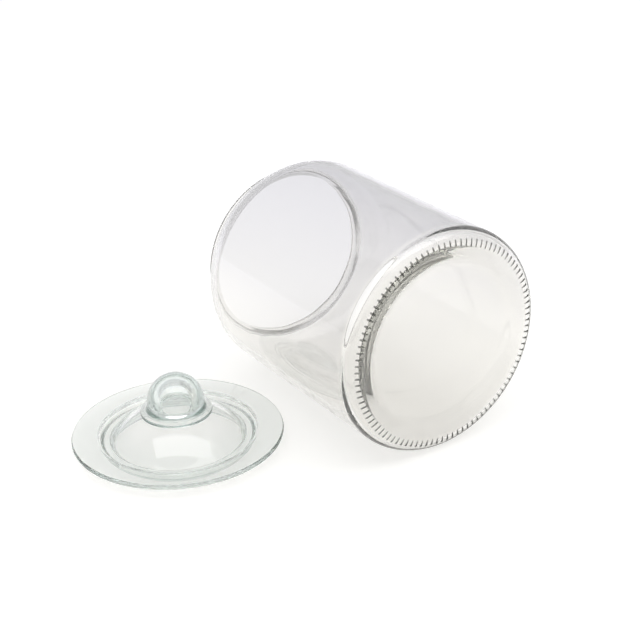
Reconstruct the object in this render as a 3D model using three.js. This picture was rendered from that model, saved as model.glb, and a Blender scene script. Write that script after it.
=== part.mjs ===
// A round glass jar lying on its side, and its knobbed glass lid lying beside it, knob up.
//
// Units are millimetres and +Z is up. The jar's axis runs along Y, with the base towards -Y and the
// mouth towards +Y. Both parts rest on the plane Z = 0, and the origin lies on that plane under the
// middle of the box that holds the two.

import * as THREE from "three";

// ---------------------------------------------------------------- driving dimensions

const JAR_RADIUS = 60; // outside of the straight wall
const JAR_HEIGHT = 145.5; // from the standing ring to the top of the lip
const WALL = 3.2;
const HEEL_RADIUS = 7.9; // round corner between the base and the wall
const STANDING_RING_INNER = 51; // the jar stands on a ring that starts at this radius
const PUSH_UP_RADIUS = 43; // edge of the shallow hollow under the base
const PUSH_UP_DEPTH = 1.5;
const PUSH_UP_CROWN = 1.5; // extra depth at the centre
const MOAT_ROUND = 4; // round corner between the inside wall and the moat around the floor
const MOAT_FLOOR = 3.2; // glass left under the moat
const MOAT_TURN = 117; // degrees that the corner turns through, from the wall to the slope
const FLOOR_EDGE_RADIUS = 41.8; // the slope out of the moat ends here
const FLOOR_EDGE_HEIGHT = 8.3;
const FLOOR_EDGE_REACH = 4.5; // the rounding of that edge reaches this far along each side
const FLOOR_EDGE_CUT = 0.5; // and lowers the edge by this much
const FLOOR_CENTRE = 9.6; // the floor rises gently to its centre
const SHOULDER_RADIUS = 21; // round shoulder between the wall and the lip
const SHOULDER_DROP = 22.7; // from the top of the lip down to where the wall starts to curve in
const RIM_RADIUS = 50.7; // outside of the lip
const MOUTH_RADIUS = 46.8; // inside of the lip
const LIP_EDGE = 1.3; // round on both edges of the lip's flat top
const NECK_FILLET = 4; // hollow corner between the shoulder and the lip

const FLANGE_RADIUS = 55.2; // edge of the lid, a little inside the jar's wall
const FLANGE_TOP = 7.8; // above the surface that the lid lies on
const FLANGE_THICKNESS = 2.6;
const PLUG_RADIUS = 41.2; // outside of the ring that drops into the mouth
const PLUG_INNER = 33.4; // inside of that ring
const WELL_RADIUS = 41.6; // outer edge of the sunken ring on the lid's top
const WELL_FLOOR = 4.8; // top of the sunken ring
const DOME_EDGE = 35.1; // the dome rises from this radius
const DOME_FOOT = 5; // height of that edge
const DOME_TOP = 22;
const DOME_THICKNESS = 2.8;

const KNOB_RADIUS = 14.8;
const KNOB_TOP = 39.7;
const KNOB_BORE = 8.5; // radius of the hollow inside the knob
const BRIM_RADIUS = 18.7; // flared foot of the knob
const BRIM_THICKNESS = 1.5;
const JOINT_GAP = 0.3; // between the knob's foot and the dome that it is fused to

const LID_BESIDE_JAR = 106.3; // from the jar's axis to the lid's axis, along -X
const LID_ALONG_JAR = 89.2; // from the standing ring to the lid's axis, along +Y

const JAR_SIDES = 48;
const LID_SIDES = 48;
const KNOB_SIDES = 32;

// ---------------------------------------------------------------- places

const rowLow = -LID_BESIDE_JAR - FLANGE_RADIUS; // ends of the whole row, seen from the jar's axis
const rowHigh = JAR_RADIUS;
const JAR_X = -(rowLow + rowHigh) / 2;
const JAR_Y = -JAR_HEIGHT / 2;

// ---------------------------------------------------------------- materials

const jarGlass = new THREE.MeshStandardMaterial({
  color: 0xedeeec,
  roughness: 0.03,
  metalness: 0,
  transparent: true,
  opacity: 0.3,
});
const lidGlass = new THREE.MeshStandardMaterial({
  color: 0xdce6e2,
  roughness: 0.03,
  metalness: 0,
  transparent: true,
  opacity: 0.35,
});
const knobGlass = new THREE.MeshStandardMaterial({
  color: 0xd3dfdb,
  roughness: 0.03,
  metalness: 0,
  transparent: true,
  opacity: 0.4,
});

// ---------------------------------------------------------------- profile helpers

// Points [radius, height] along an arc about a centre, at angles in degrees measured from the
// direction of growing radius towards growing height.
function arc(centre, radius, from, to, steps) {
  return Array.from({ length: steps + 1 }, (_, i) => {
    const angle = THREE.MathUtils.degToRad(from + ((to - from) * i) / steps);
    return [
      centre[0] + radius * Math.cos(angle),
      centre[1] + radius * Math.sin(angle),
    ];
  });
}

// Height of a sphere about the axis at a radius, from the height of its centre.
function sphereHeight(centreHeight, sphereRadius, radius) {
  return centreHeight + Math.sqrt(sphereRadius ** 2 - radius ** 2);
}

// Points along the top of such a sphere between two radii.
function cap(centreHeight, sphereRadius, from, to, steps) {
  return Array.from({ length: steps + 1 }, (_, i) => {
    const radius = from + ((to - from) * i) / steps;
    return [radius, sphereHeight(centreHeight, sphereRadius, radius)];
  });
}

// A closed solid of revolution about Y. The flats of its sides, not their corners, lie at the
// profile's radii, so a flat faces each of +X, -X, +Z and -Z.
function turned(name, profile, sides, material) {
  const halfSide = Math.PI / sides;
  const stretch = 1 / Math.cos(halfSide);
  const points = profile.map(
    ([radius, height]) => new THREE.Vector2(radius * stretch, height),
  );
  const mesh = new THREE.Mesh(
    new THREE.LatheGeometry(points, sides, halfSide),
    material,
  );
  mesh.name = name;
  return mesh;
}

// ---------------------------------------------------------------- the jar

// A point of the shallow hollow under the base, which is deepest at its centre.
function pushUpPoint(radius) {
  const crown = PUSH_UP_CROWN * (1 - (radius / PUSH_UP_RADIUS) ** 2);
  return [radius, PUSH_UP_DEPTH + crown];
}

function jarBody() {
  const insideRadius = JAR_RADIUS - WALL;
  const shoulderCentre = [
    JAR_RADIUS - SHOULDER_RADIUS,
    JAR_HEIGHT - SHOULDER_DROP,
  ];
  const lipHeight = JAR_HEIGHT - LIP_EDGE;
  const lipOuter = [RIM_RADIUS - LIP_EDGE, lipHeight];
  const lipInner = [MOUTH_RADIUS + LIP_EDGE, lipHeight];

  // The fillet between the shoulder and the lip touches both from outside.
  const filletRadius = RIM_RADIUS + NECK_FILLET;
  const filletReach = SHOULDER_RADIUS + NECK_FILLET;
  const filletCos = (filletRadius - shoulderCentre[0]) / filletReach;
  const filletAngle = THREE.MathUtils.radToDeg(Math.acos(filletCos));
  const filletCentre = [
    filletRadius,
    shoulderCentre[1] + filletReach * Math.sqrt(1 - filletCos ** 2),
  ];

  const insideShoulder = SHOULDER_RADIUS - WALL;
  const throatCos = (MOUTH_RADIUS - shoulderCentre[0]) / insideShoulder;
  const throatAngle = THREE.MathUtils.radToDeg(Math.acos(throatCos));
  const moatCentre = [insideRadius - MOAT_ROUND, MOAT_FLOOR + MOAT_ROUND];
  const slope = THREE.MathUtils.degToRad(MOAT_TURN - 90);
  const heelCentre = [JAR_RADIUS - HEEL_RADIUS, HEEL_RADIUS];

  return turned(
    "jar_body",
    [
      pushUpPoint(0),
      pushUpPoint(PUSH_UP_RADIUS / 2),
      pushUpPoint(PUSH_UP_RADIUS * 0.9),
      [PUSH_UP_RADIUS, PUSH_UP_DEPTH - 0.1],
      [STANDING_RING_INNER, 0],
      ...arc(heelCentre, HEEL_RADIUS, -90, 0, 5),
      ...arc(shoulderCentre, SHOULDER_RADIUS, 0, filletAngle, 5),
      ...arc(filletCentre, NECK_FILLET, filletAngle + 180, 180, 3).slice(1),
      ...arc(lipOuter, LIP_EDGE, 0, 90, 3),
      ...arc(lipInner, LIP_EDGE, 90, 180, 3),
      ...arc(shoulderCentre, insideShoulder, throatAngle, 0, 5),
      ...arc(moatCentre, MOAT_ROUND, 0, -MOAT_TURN, 7),
      [
        FLOOR_EDGE_RADIUS + FLOOR_EDGE_REACH * Math.cos(slope),
        FLOOR_EDGE_HEIGHT - FLOOR_EDGE_REACH * Math.sin(slope),
      ],
      [FLOOR_EDGE_RADIUS, FLOOR_EDGE_HEIGHT - FLOOR_EDGE_CUT],
      [FLOOR_EDGE_RADIUS - FLOOR_EDGE_REACH, FLOOR_EDGE_HEIGHT + 0.15],
      [0, FLOOR_CENTRE],
    ],
    JAR_SIDES,
    jarGlass,
  );
}

// ---------------------------------------------------------------- the lid

// The dome is part of a sphere that passes through its edge and its top.
const domeRise = DOME_TOP - DOME_FOOT;
const domeSphere = (DOME_EDGE ** 2 + domeRise ** 2) / (2 * domeRise);
const domeCentre = DOME_TOP - domeSphere;

function lidDish() {
  const insideSphere = domeSphere - DOME_THICKNESS;
  const flangeUnder = FLANGE_TOP - FLANGE_THICKNESS;
  const edgeRound = FLANGE_THICKNESS / 2;
  const edgeCentre = [FLANGE_RADIUS - edgeRound, FLANGE_TOP - edgeRound];
  // The plug ring has a rounded foot, and its outside leans out to the flange.
  return turned(
    "lid_dish",
    [
      ...cap(domeCentre, insideSphere, 0, PLUG_INNER - 0.6, 7),
      [PLUG_INNER, 1],
      [PLUG_INNER + 1.2, 0],
      [PLUG_RADIUS - 3, 0],
      [PLUG_RADIUS - 1.6, 0.7],
      [PLUG_RADIUS - 0.8, 2],
      [PLUG_RADIUS - 0.2, flangeUnder - 1],
      [PLUG_RADIUS + 1, flangeUnder],
      ...arc(edgeCentre, edgeRound, -90, 90, 4),
      [WELL_RADIUS + 1.2, FLANGE_TOP],
      [WELL_RADIUS - 0.4, FLANGE_TOP - 0.8],
      [WELL_RADIUS - 1.6, WELL_FLOOR + 0.8],
      [WELL_RADIUS - 3, WELL_FLOOR],
      [DOME_EDGE + 1, WELL_FLOOR],
      ...cap(domeCentre, domeSphere, DOME_EDGE, 0, 8),
    ],
    LID_SIDES,
    lidGlass,
  );
}

function lidKnob() {
  const springHeight = KNOB_TOP - KNOB_RADIUS; // where the round top of the knob starts
  const spring = [0, springHeight];
  const seatSphere = domeSphere + JOINT_GAP;
  const seatEdge = BRIM_RADIUS - 1.3;
  const brimLow = sphereHeight(domeCentre, seatSphere, seatEdge);
  const brimTop = brimLow + BRIM_THICKNESS;
  const brimRound = BRIM_THICKNESS / 2;
  const brimCentre = [BRIM_RADIUS - brimRound, brimLow + brimRound];
  return turned(
    "lid_knob",
    [
      ...arc(spring, KNOB_BORE, 90, 0, 5),
      ...cap(domeCentre, seatSphere, KNOB_BORE, seatEdge, 3),
      ...arc(brimCentre, brimRound, -60, 90, 3),
      [KNOB_RADIUS + 2.6, brimTop + 0.25],
      [KNOB_RADIUS + 0.8, brimTop + 1.3],
      [KNOB_RADIUS, brimTop + 3.4],
      ...arc(spring, KNOB_RADIUS, 0, 90, 7),
    ],
    KNOB_SIDES,
    knobGlass,
  );
}

// ---------------------------------------------------------------- assembly

const jar = new THREE.Group();
jar.add(jarBody());
jar.position.set(JAR_X, JAR_Y, JAR_RADIUS);

const lid = new THREE.Group();
lid.add(lidDish(), lidKnob());
lid.rotation.x = Math.PI / 2; // the lid's axis of revolution stands up
lid.position.set(JAR_X - LID_BESIDE_JAR, JAR_Y + LID_ALONG_JAR, 0);

const set = new THREE.Group();
set.add(jar, lid);

export default set;
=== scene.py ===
"""A glass jar on its side and its knobbed glass lid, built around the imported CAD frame.

The CAD solids are faceted, so each is replaced by a smooth glass body of the same size. Profiles
are in millimetres, as (radius, height) from the piece's own axis and foot.
"""

import math

import bpy
from mathutils import Matrix, Vector


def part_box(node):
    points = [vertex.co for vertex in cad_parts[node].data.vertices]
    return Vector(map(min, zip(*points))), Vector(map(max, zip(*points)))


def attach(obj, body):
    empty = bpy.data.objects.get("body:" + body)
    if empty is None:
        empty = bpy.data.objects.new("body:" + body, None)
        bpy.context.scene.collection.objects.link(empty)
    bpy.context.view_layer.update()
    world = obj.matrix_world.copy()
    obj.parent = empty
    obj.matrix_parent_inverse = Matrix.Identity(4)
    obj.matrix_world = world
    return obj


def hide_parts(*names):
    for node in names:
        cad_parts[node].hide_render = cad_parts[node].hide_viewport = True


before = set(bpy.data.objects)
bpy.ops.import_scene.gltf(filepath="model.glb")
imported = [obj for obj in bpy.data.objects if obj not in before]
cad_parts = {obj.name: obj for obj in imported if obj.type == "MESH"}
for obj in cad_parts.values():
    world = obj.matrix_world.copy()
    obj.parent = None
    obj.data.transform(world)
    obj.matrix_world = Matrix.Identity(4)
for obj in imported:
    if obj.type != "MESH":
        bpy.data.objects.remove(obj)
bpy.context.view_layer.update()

MM = 0.001
SCENE = bpy.context.scene
GLASS_BOUNCES = 32  # light that runs along inside the glass is reflected many times
GLASS_CLARITY = 0.97  # the rest scatters on the glass's faces


# ------------------------------------------------------------------ sizes, from the frame

def centre_and_size(node):
    low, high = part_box(node)
    return (low + high) / 2, high - low


jar_centre, jar_size = centre_and_size("jar_body")
dish_centre, dish_size = centre_and_size("lid_dish")
knob_centre, knob_size = centre_and_size("lid_knob")

JAR_RADIUS = jar_size.x / 2 / MM
JAR_HEIGHT = jar_size.y / MM
FLANGE_RADIUS = dish_size.x / 2 / MM
DOME_TOP = dish_size.z / MM
BRIM_RADIUS = knob_size.x / 2 / MM
KNOB_TOP = (knob_centre.z + knob_size.z / 2) / MM

# The jar
WALL = 3.2
HEEL_RADIUS = 7.9
STANDING_RING_INNER = 51
PUSH_UP_RADIUS = 43
PUSH_UP_DEPTH = 1.5
PUSH_UP_CROWN = 1.5
INSIDE_FLOOR = (  # corners of the inside, from the wall to the axis: radius, height, fillet
    (JAR_RADIUS - WALL, 0.67, 4),
    (41.8, 8.3, 20),
    (0, 9.6, 0),
)
LIP_EDGE = 1.3
SHOULDER_RADIUS = 21
SHOULDER_DROP = 22.7
RIM_RADIUS = 50.7
MOUTH_RADIUS = 46.8
NECK_FILLET = 4
MOULD_RING_RADIUS = 30  # the fine ring that the mould's plug leaves under the base
MOULD_RING_DEPTH = 0.3
MOULD_RING_WIDTH = 0.8
STIPPLE_COUNT = 100
STIPPLE_INNER = 52
STIPPLE_OUTER = 55.2
STIPPLE_DEPTH = 0.5
# painted shade: the hollows of the stippling nicks are coloured nearly black
NICK_PAINTED_SHADE = (0.1, 0.1, 0.09)
NICK_ROUGHNESS = 0.4
LIP_ROUGHNESS = 0.2

# The lid
FLANGE_TOP = 7.8
FLANGE_THICKNESS = 2.6
PLUG_RADIUS = 41.2
PLUG_INNER = 33.4
WELL_RADIUS = 41.6
WELL_FLOOR = 4.8
DOME_EDGE = 35.1
DOME_FOOT = 5
DOME_THICKNESS = 2.8
KNOB_RADIUS = 14.8
KNOB_BORE = 8.5
BRIM_THICKNESS = 1.5
JOINT_GAP = 0.3

# The camera's place, fitted to the photograph's view
VIEW_AZIMUTH = -33.53  # degrees
VIEW_ELEVATION = 26.12
VIEW_ROLL = -1.69
VIEW_DISTANCE = 14.452  # in jar radii, as the next two
VIEW_ASIDE = 0.5637  # from the jar's middle to what the camera aims at, along X
VIEW_ALONG = 1.515
LENS = 79.66

# The studio
WALL_DIRECTION = (0.55, 0.83, 0)  # level, from the table to the white wall behind it
WALL_LIGHT = 0.78
CEILING_LIGHT = 0.55
DIM_LIGHT = 0.08  # the front, and all that is below the ceiling's glow
SOFTBOX_PLACE = (0.1, -0.38, 1.0)
SOFTBOX_TURN = -33.5
SOFTBOX_SIZE = (1.9, 0.6)
SOFTBOX_POWER = 6.5
PAPER = 0.5
PAPER_GLOW_NEAR = (0.665, 0.66, 0.64)
PAPER_GLOW_FAR = (0.68, 0.675, 0.705)
PAPER_GLOW_REACH = 0.5

FINE = 18 * STIPPLE_COUNT  # points around the rings that carry the stippling
COARSE = 2 * STIPPLE_COUNT


# ------------------------------------------------------------------ camera

def place_camera():
    """The photograph's view: from the base's side, a little above, slightly rolled."""
    azimuth, elevation = math.radians(VIEW_AZIMUTH), math.radians(VIEW_ELEVATION)
    unit = JAR_RADIUS * MM
    aim = Vector((jar_centre.x + VIEW_ASIDE * unit, jar_centre.y + VIEW_ALONG * unit, 0))
    forward = Vector((
        -math.sin(azimuth) * math.cos(elevation),
        math.cos(azimuth) * math.cos(elevation),
        -math.sin(elevation),
    ))
    data = bpy.data.cameras.new("camera")
    data.sensor_width = 36
    data.lens = LENS
    data.clip_start = 0.01
    camera = bpy.data.objects.new("camera", data)
    SCENE.collection.objects.link(camera)
    look = forward.to_track_quat("-Z", "Y").to_matrix().to_4x4()
    turn = Matrix.Rotation(math.radians(VIEW_ROLL), 4, "Z")
    camera.matrix_world = Matrix.Translation(aim - VIEW_DISTANCE * unit * forward) @ look @ turn
    SCENE.camera = camera


# ------------------------------------------------------------------ profiles

def arc(centre, radius, start, end, steps):
    """Points on an arc; angles in degrees, from growing radius towards growing height."""
    angles = [math.radians(start + (end - start) * i / steps) for i in range(steps + 1)]
    return [(centre[0] + radius * math.cos(a), centre[1] + radius * math.sin(a)) for a in angles]


def rounded(corners, steps=8):
    """A polyline through (radius, height, fillet) corners, each rounded by its fillet."""
    points = []
    for i, (r, h, fillet) in enumerate(corners):
        here = Vector((r, h))
        if not fillet or i in (0, len(corners) - 1):
            points.append((r, h))
            continue
        before = (Vector(corners[i - 1][:2]) - here).normalized()
        after = (Vector(corners[i + 1][:2]) - here).normalized()
        half = before.angle(after) / 2
        reach = fillet / math.tan(half)
        middle = here + (before + after).normalized() * (fillet / math.sin(half))
        start = here + before * reach - middle
        end = here + after * reach - middle
        for k in range(steps + 1):
            spoke = start.normalized().slerp(end.normalized(), k / steps)
            points.append(tuple(middle + spoke * fillet))
    return points


def sphere_cap(centre_height, radius, start, end, steps):
    """Points on the upper side of a sphere about the axis, between two radii."""
    radii = [start + (end - start) * i / steps for i in range(steps + 1)]
    return [(r, centre_height + math.sqrt(radius ** 2 - r ** 2)) for r in radii]


def line(start, end, steps):
    """Points inside a straight stretch, without its ends."""
    return [
        (start[0] + (end[0] - start[0]) * i / steps, start[1] + (end[1] - start[1]) * i / steps)
        for i in range(1, steps)
    ]


# ------------------------------------------------------------------ turned glass

def turned(name, profile, count=COARSE, dent=None, fine=lambda point: False):
    """A closed body of revolution about Z from a profile that starts and ends on the axis.

    dent(point, turn) gives how far a point moves, as (radius, height), where turn runs from 0 to 1
    around the axis. Rings where fine(point) is true have FINE points, the others count.
    """
    vertices, rings, marks = [], [], []
    for point in profile:
        if point[0] < 1e-6:
            rings.append([len(vertices)])
            vertices.append((0, 0, point[1]))
            marks.append(0)
            continue
        n = FINE if fine(point) else count
        rings.append(list(range(len(vertices), len(vertices) + n)))
        for i in range(n):
            dr, dh = dent(point, i / n) if dent else (0, 0)
            angle = 2 * math.pi * i / n
            radius = point[0] + dr
            vertices.append((radius * math.cos(angle), radius * math.sin(angle), point[1] + dh))
            marks.append(dh / STIPPLE_DEPTH)
    faces = []
    for a, b in zip(rings, rings[1:]):
        turns = max(len(a), len(b)) if 1 in (len(a), len(b)) else min(len(a), len(b))
        for i in range(turns):
            low = ring_stretch(a, i, turns)
            high = ring_stretch(b, i, turns)
            faces.append(low + high[::-1])
    mesh = bpy.data.meshes.new(name)
    mesh.from_pydata([Vector(v) * MM for v in vertices], [], faces)
    mesh.attributes.new("nick", "FLOAT", "POINT").data.foreach_set("value", marks)
    mesh.validate()
    if signed_volume(mesh) < 0:
        mesh.flip_normals()
    mesh.polygons.foreach_set("use_smooth", [True] * len(mesh.polygons))
    piece = bpy.data.objects.new(name, mesh)
    SCENE.collection.objects.link(piece)
    return piece


def ring_stretch(ring, i, turns):
    """The points of a ring that border face i of turns."""
    if len(ring) == 1:
        return ring
    step = len(ring) // turns
    return [ring[(i * step + k) % len(ring)] for k in range(step + 1)]


def signed_volume(mesh):
    total = 0.0
    mesh.calc_loop_triangles()
    for triangle in mesh.loop_triangles:
        a, b, c = (mesh.vertices[v].co for v in triangle.vertices)
        total += a.dot(b.cross(c)) / 6
    return total


# ------------------------------------------------------------------ the jar

def jar_profile():
    inside = JAR_RADIUS - WALL
    shoulder = (JAR_RADIUS - SHOULDER_RADIUS, JAR_HEIGHT - SHOULDER_DROP)
    reach = SHOULDER_RADIUS + NECK_FILLET
    neck_radius = RIM_RADIUS + NECK_FILLET
    neck_angle = math.degrees(math.acos((neck_radius - shoulder[0]) / reach))
    neck = (neck_radius, shoulder[1] + reach * math.sin(math.radians(neck_angle)))
    inside_shoulder = SHOULDER_RADIUS - WALL
    throat = math.degrees(math.acos((MOUTH_RADIUS - shoulder[0]) / inside_shoulder))
    heel = (JAR_RADIUS - HEEL_RADIUS, HEEL_RADIUS)
    crown_steps = 30
    crown_edge = PUSH_UP_RADIUS * 0.9
    crown = [
        (crown_edge * i / crown_steps, push_up_height(crown_edge * i / crown_steps))
        for i in range(crown_steps + 1)
    ]
    edge = rounded([
        (*crown[-1], 0),
        (PUSH_UP_RADIUS, PUSH_UP_DEPTH, 12),
        (STANDING_RING_INNER, 0, 4),
        (heel[0], 0, 0),
    ])
    floor = rounded([
        (inside, shoulder[1], 0),
        *INSIDE_FLOOR,
    ], 12)
    return [
        *crown,
        *edge[1:-1],
        *arc(heel, HEEL_RADIUS, -90, -60, 16),
        *arc(heel, HEEL_RADIUS, -60, 0, 14)[1:],
        *line((JAR_RADIUS, HEEL_RADIUS), (JAR_RADIUS, shoulder[1]), 12),
        *arc(shoulder, SHOULDER_RADIUS, 0, neck_angle, 12),
        *arc(neck, NECK_FILLET, neck_angle + 180, 180, 5)[1:],
        *arc((RIM_RADIUS - LIP_EDGE, JAR_HEIGHT - LIP_EDGE), LIP_EDGE, 0, 90, 6),
        *line((RIM_RADIUS - LIP_EDGE, JAR_HEIGHT), (MOUTH_RADIUS + LIP_EDGE, JAR_HEIGHT), 4),
        *arc((MOUTH_RADIUS + LIP_EDGE, JAR_HEIGHT - LIP_EDGE), LIP_EDGE, 90, 180, 6),
        *arc(shoulder, inside_shoulder, throat, 0, 14),
        *line((inside, shoulder[1]), floor[1], 16),
        *floor[1:-1],
        *line(floor[-2], floor[-1], 12),
        floor[-1],
    ]


def push_up_height(radius):
    """The hollow under the base, with the fine ring that the mould's plug leaves in it."""
    crown = PUSH_UP_CROWN * (1 - (radius / PUSH_UP_RADIUS) ** 2)
    off_ring = (radius - MOULD_RING_RADIUS) / MOULD_RING_WIDTH
    ring = MOULD_RING_DEPTH * math.exp(-off_ring ** 2)
    return PUSH_UP_DEPTH + crown - ring


def on_stipple(point):
    return point[1] < 3 and STIPPLE_INNER - 0.7 < point[0] < STIPPLE_OUTER + 0.7


def stipple(point, turn):
    """Short radial nicks around the standing ring, wider towards their outer ends."""
    if not on_stipple(point):
        return 0, 0
    across = abs((turn * STIPPLE_COUNT) % 1 - 0.5) * 2 * math.pi * point[0] / STIPPLE_COUNT
    along = (point[0] - STIPPLE_INNER) / (STIPPLE_OUTER - STIPPLE_INNER)
    half_width = 0.5 + 0.2 * smooth_step(0.3, 0.9, along)
    nick = 1 - smooth_step(0, half_width, across)
    nick *= smooth_step(-0.12, 0.12, along) * (1 - smooth_step(0.88, 1.12, along))
    return 0, STIPPLE_DEPTH * nick


def smooth_step(low, high, value):
    t = min(1, max(0, (value - low) / (high - low)))
    return t * t * (3 - 2 * t)


def make_jar():
    piece = turned("jar_glass_body", jar_profile(), dent=stipple, fine=on_stipple)
    place = Vector((jar_centre.x, jar_centre.y - jar_size.y / 2, jar_centre.z))
    piece.data.transform(Matrix.Translation(place) @ Matrix.Rotation(-math.pi / 2, 4, "X"))
    return piece


# ------------------------------------------------------------------ the lid

dome_rise = DOME_TOP - DOME_FOOT
dome_sphere = (DOME_EDGE ** 2 + dome_rise ** 2) / (2 * dome_rise)
dome_centre = DOME_TOP - dome_sphere


def dish_profile():
    under = FLANGE_TOP - FLANGE_THICKNESS
    inner_cap = sphere_cap(dome_centre, dome_sphere - DOME_THICKNESS, 0, PLUG_INNER - 1.2, 24)
    outer_cap = sphere_cap(dome_centre, dome_sphere, DOME_EDGE, 0, 24)
    ring = rounded([
        (*inner_cap[-1], 0),
        (PLUG_INNER - 0.2, 2.6, 1.2),
        (PLUG_INNER + 0.6, 0, 1.2),
        (PLUG_RADIUS - 1.4, 0, 2.4),
        (PLUG_RADIUS, under, 1.6),
        (FLANGE_RADIUS, under, 1.1),
        (FLANGE_RADIUS, FLANGE_TOP, 1.1),
        (WELL_RADIUS + 0.3, FLANGE_TOP, 1.6),
        (WELL_RADIUS - 2.4, WELL_FLOOR, 2.4),
        (DOME_EDGE + 0.6, WELL_FLOOR, 0.5),
        (*outer_cap[1], 0),
    ])
    return [*inner_cap, *ring[1:-1], *outer_cap[1:]]


def knob_profile():
    spring = (0, KNOB_TOP - KNOB_RADIUS)
    seat = dome_sphere + JOINT_GAP
    seat_edge = BRIM_RADIUS - 1.3
    brim_low = dome_centre + math.sqrt(seat ** 2 - seat_edge ** 2)
    brim_top = brim_low + BRIM_THICKNESS
    bore_foot = sphere_cap(dome_centre, seat, KNOB_BORE, seat_edge, 8)
    foot = rounded([
        (*bore_foot[-1], 0),
        (BRIM_RADIUS, brim_low - 0.1, 0.5),
        (BRIM_RADIUS, brim_top, 0.6),
        (KNOB_RADIUS, brim_top + 0.7, 3.2),
        (KNOB_RADIUS, spring[1], 0),
    ])
    return [
        *arc(spring, KNOB_BORE, 90, 0, 16),
        *line((KNOB_BORE, spring[1]), bore_foot[0], 3),
        *bore_foot,
        *foot[1:-1],
        *arc(spring, KNOB_RADIUS, 0, 90, 24),
    ]


def make_lid(name, profile):
    piece = turned(name, profile, count=360)
    piece.data.transform(Matrix.Translation((dish_centre.x, dish_centre.y, 0)))
    return piece


# ------------------------------------------------------------------ shader nodes

def mapped(tree, value, low, high, bottom, top, smooth=False):
    """A value's place between low and high, as a value between bottom and top."""
    spread = tree.nodes.new("ShaderNodeMapRange")
    if smooth:
        spread.interpolation_type = "SMOOTHSTEP"
    spread.inputs["From Min"].default_value = low
    spread.inputs["From Max"].default_value = high
    spread.inputs["To Min"].default_value = bottom
    spread.inputs["To Max"].default_value = top
    tree.links.new(value, spread.inputs["Value"])
    return spread.outputs["Result"]


def larger(tree, one, other):
    pick = tree.nodes.new("ShaderNodeMath")
    pick.operation = "MAXIMUM"
    tree.links.new(one, pick.inputs[0])
    tree.links.new(other, pick.inputs[1])
    return pick.outputs["Value"]


def along_direction(tree, place, direction):
    """How far a place lies in a direction."""
    along = tree.nodes.new("ShaderNodeVectorMath")
    along.operation = "DOT_PRODUCT"
    along.inputs[1].default_value = direction
    tree.links.new(place, along.inputs[0])
    return along.outputs["Value"]


def axes(tree, place):
    split = tree.nodes.new("ShaderNodeSeparateXYZ")
    tree.links.new(place, split.inputs["Vector"])
    return split.outputs


def mixed(tree, factor, start, end):
    """A colour between two, each of them a colour or another node's output."""
    mix = tree.nodes.new("ShaderNodeMix")
    mix.data_type = "RGBA"
    tree.links.new(factor, mix.inputs["Factor"])
    for socket, colour in (("A", start), ("B", end)):
        if isinstance(colour, tuple):
            mix.inputs[socket].default_value = (*colour, 1)
        else:
            tree.links.new(colour, mix.inputs[socket])
    return mix.outputs["Result"]


def noise(tree, place, scale, detail):
    cloud = tree.nodes.new("ShaderNodeTexNoise")
    cloud.inputs["Scale"].default_value = scale
    cloud.inputs["Detail"].default_value = detail
    tree.links.new(place, cloud.inputs["Vector"])
    return cloud.outputs["Fac"]


def object_place(tree):
    return tree.nodes.new("ShaderNodeTexCoord").outputs["Object"]


# ------------------------------------------------------------------ glass

def glass(name, tints_and_shade, shade_rise, absorb, density, wave_scale, wave_height, ends=None):
    """Clear glass: a faint tint, slightly wavy faces, and a colour that grows with thickness.

    The tint runs from the first of the two tints to the second over the given stretch of Z; this
    change with height is painted shade. Outside ends, a stretch of Y, the glass has the first tint.
    The lip beyond it and the nicks of the stippling are finely ground, and the nicks' hollows also
    get painted shade.
    """
    material = bpy.data.materials.new(name)
    material.use_nodes = True
    tree = material.node_tree
    shader = tree.nodes["Principled BSDF"]
    shader.inputs["Transmission Weight"].default_value = GLASS_CLARITY
    shader.inputs["IOR"].default_value = 1.5
    place = object_place(tree)
    along, height = axes(tree, place)["Y"], axes(tree, place)["Z"]
    cloud = noise(tree, place, 14, 2)

    tint_with_shade = mixed(tree, mapped(tree, height, *shade_rise, 0, 1), *tints_and_shade)
    roughness = mapped(tree, cloud, 0.35, 0.75, 0, 0.025)
    if ends:
        nick = tree.nodes.new("ShaderNodeAttribute")
        nick.attribute_name = "nick"
        nick = nick.outputs["Fac"]
        foot = mapped(tree, along, ends[0], ends[0] + 3 * MM, 1, 0)
        lip = mapped(tree, along, ends[1] - 3 * MM, ends[1], 0, 1)
        tint_with_shade = mixed(tree, larger(tree, foot, lip), tint_with_shade, tints_and_shade[0])
        # painted shade in the nicks' hollows, deeper where a nick is deeper
        tint_with_shade = mixed(tree, mapped(tree, nick, 0.05, 0.4, 0, 1), tint_with_shade, NICK_PAINTED_SHADE)
        ground_lip = mapped(tree, along, ends[1] - 3 * MM, ends[1], 0, LIP_ROUGHNESS)
        ground_nick = mapped(tree, nick, 0, 1, 0, NICK_ROUGHNESS)
        roughness = larger(tree, larger(tree, roughness, ground_lip), ground_nick)
    tint_with_shade = mixed(tree, mapped(tree, cloud, 0, 1, 0, 0.03), tint_with_shade, (1, 1, 1))
    tree.links.new(tint_with_shade, shader.inputs["Base Color"])
    tree.links.new(roughness, shader.inputs["Roughness"])

    bump = tree.nodes.new("ShaderNodeBump")
    bump.inputs["Strength"].default_value = 1
    bump.inputs["Distance"].default_value = wave_height
    tree.links.new(noise(tree, place, wave_scale, 1), bump.inputs["Height"])
    tree.links.new(bump.outputs["Normal"], shader.inputs["Normal"])

    volume = tree.nodes.new("ShaderNodeVolumeAbsorption")
    volume.inputs["Color"].default_value = (*absorb, 1)
    volume.inputs["Density"].default_value = density
    tree.links.new(volume.outputs["Volume"], tree.nodes["Material Output"].inputs["Volume"])
    return material


# ------------------------------------------------------------------ studio

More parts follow.
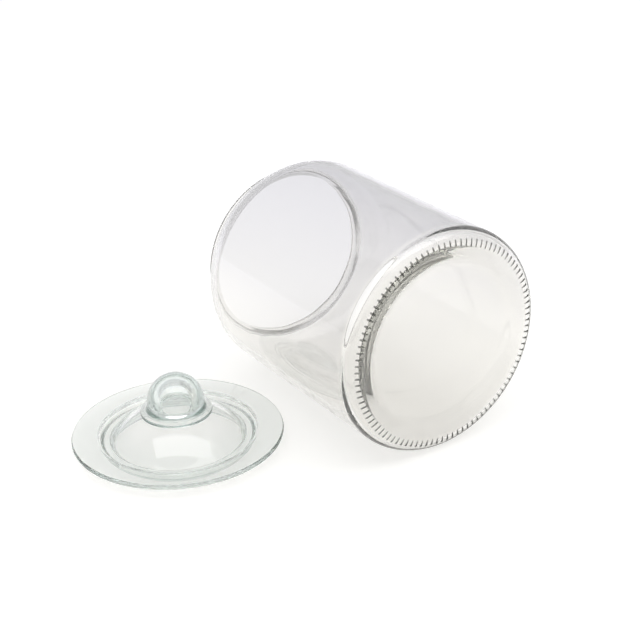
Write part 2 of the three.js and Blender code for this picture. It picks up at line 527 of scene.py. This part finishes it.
def make_floor():
    """White paper that glows as if it was lit from all around, a little bluer far away."""
    mesh = bpy.data.meshes.new("floor")
    half = 4.0
    mesh.from_pydata([(-half, -half, 0), (half, -half, 0), (half, half, 0), (-half, half, 0)],
                     [], [(0, 1, 2, 3)])
    floor = bpy.data.objects.new("floor", mesh)
    floor.location.z = -0.0002
    SCENE.collection.objects.link(floor)
    material = bpy.data.materials.new("floor_paper")
    material.use_nodes = True
    tree = material.node_tree
    shader = tree.nodes["Principled BSDF"]
    shader.inputs["Base Color"].default_value = (PAPER, PAPER, PAPER, 1)
    shader.inputs["Roughness"].default_value = 0.9
    shader.inputs["Specular IOR Level"].default_value = 0
    shader.inputs["Emission Strength"].default_value = 1
    away = along_direction(tree, object_place(tree), WALL_DIRECTION)
    far = mapped(tree, away, 0, PAPER_GLOW_REACH, 0, 1, smooth=True)
    glow = mixed(tree, far, PAPER_GLOW_NEAR, PAPER_GLOW_FAR)
    tree.links.new(glow, shader.inputs["Emission Color"])
    mesh.materials.append(material)


def hang_softbox():
    """A soft light that hangs over the table and shines straight down."""
    data = bpy.data.lights.new("softbox", "AREA")
    data.shape = "RECTANGLE"
    data.size, data.size_y = SOFTBOX_SIZE
    data.energy = SOFTBOX_POWER
    light = bpy.data.objects.new("softbox", data)
    light.location = SOFTBOX_PLACE
    light.rotation_euler = (0, 0, math.radians(SOFTBOX_TURN))
    SCENE.collection.objects.link(light)


def light_world():
    """A studio with a white wall behind the table, a white ceiling and a dim front."""
    world = bpy.data.worlds.new("studio")
    world.use_nodes = True
    SCENE.world = world
    tree = world.node_tree
    place = tree.nodes.new("ShaderNodeTexCoord").outputs["Generated"]
    behind = along_direction(tree, place, WALL_DIRECTION)
    up = along_direction(tree, place, (0, 0, 1))
    background = tree.nodes["Background"]
    background.inputs["Color"].default_value = (1, 1, 1, 1)
    strength = larger(
        tree,
        mapped(tree, behind, -0.4, 0.5, DIM_LIGHT, WALL_LIGHT, smooth=True),
        mapped(tree, up, 0.1, 0.5, DIM_LIGHT, CEILING_LIGHT, smooth=True),
    )
    tree.links.new(strength, background.inputs["Strength"])


# ------------------------------------------------------------------ assembly

place_camera()
make_floor()
light_world()
hang_softbox()
SCENE.view_settings.view_transform = "Standard"
for kind in ("max_bounces", "glossy_bounces", "transmission_bounces"):
    setattr(SCENE.cycles, kind, GLASS_BOUNCES)

jar_foot, jar_top = jar_centre.y - jar_size.y / 2, jar_centre.y + jar_size.y / 2
jar_glass = glass(
    "jar_glass",
    # painted shade: from a quarter of its height up, the lying jar is tinted darker and a little
    # lavender towards its top
    tints_and_shade=((0.985, 0.977, 0.96), (0.785, 0.781, 0.804)),
    shade_rise=(jar_size.z / 4, jar_size.z),
    absorb=(0.8, 0.8, 0.77),
    density=20,
    wave_scale=30,
    wave_height=0.2 * MM,
    ends=(jar_foot + 7 * MM, jar_top - 4 * MM),
)
lid_glass = glass(
    "lid_glass",
    # painted shade: the lid is tinted darker and greener at its flange and clears towards the dome
    # above
    tints_and_shade=((0.915, 0.93, 0.92), (1, 1, 0.995)),
    shade_rise=(FLANGE_TOP * MM, 2 * FLANGE_TOP * MM),
    absorb=(0.7, 0.82, 0.78),
    density=15,
    wave_scale=40,
    wave_height=0.04 * MM,
)
knob_glass = glass(
    "knob_glass",
    # painted shade: the knob is tinted a little darker at its foot than at its top
    tints_and_shade=((0.98, 0.985, 0.98), (1, 1, 0.995)),
    shade_rise=(DOME_TOP * MM, KNOB_TOP * MM),
    absorb=(0.66, 0.78, 0.75),
    density=30,
    wave_scale=60,
    wave_height=0.05 * MM,
)

jar = make_jar()
jar.data.materials.append(jar_glass)
dish = make_lid("lid_glass_dish", dish_profile())
dish.data.materials.append(lid_glass)
knob = make_lid("lid_glass_knob", knob_profile())
knob.data.materials.append(knob_glass)

for piece, body, node, slot in (
    (jar, "jar", "jar_body", "jar_glass"),
    (dish, "lid", "lid_dish", "lid_glass"),
    (knob, "lid", "lid_knob", "knob_glass"),
):
    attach(piece, body)
    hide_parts(node)
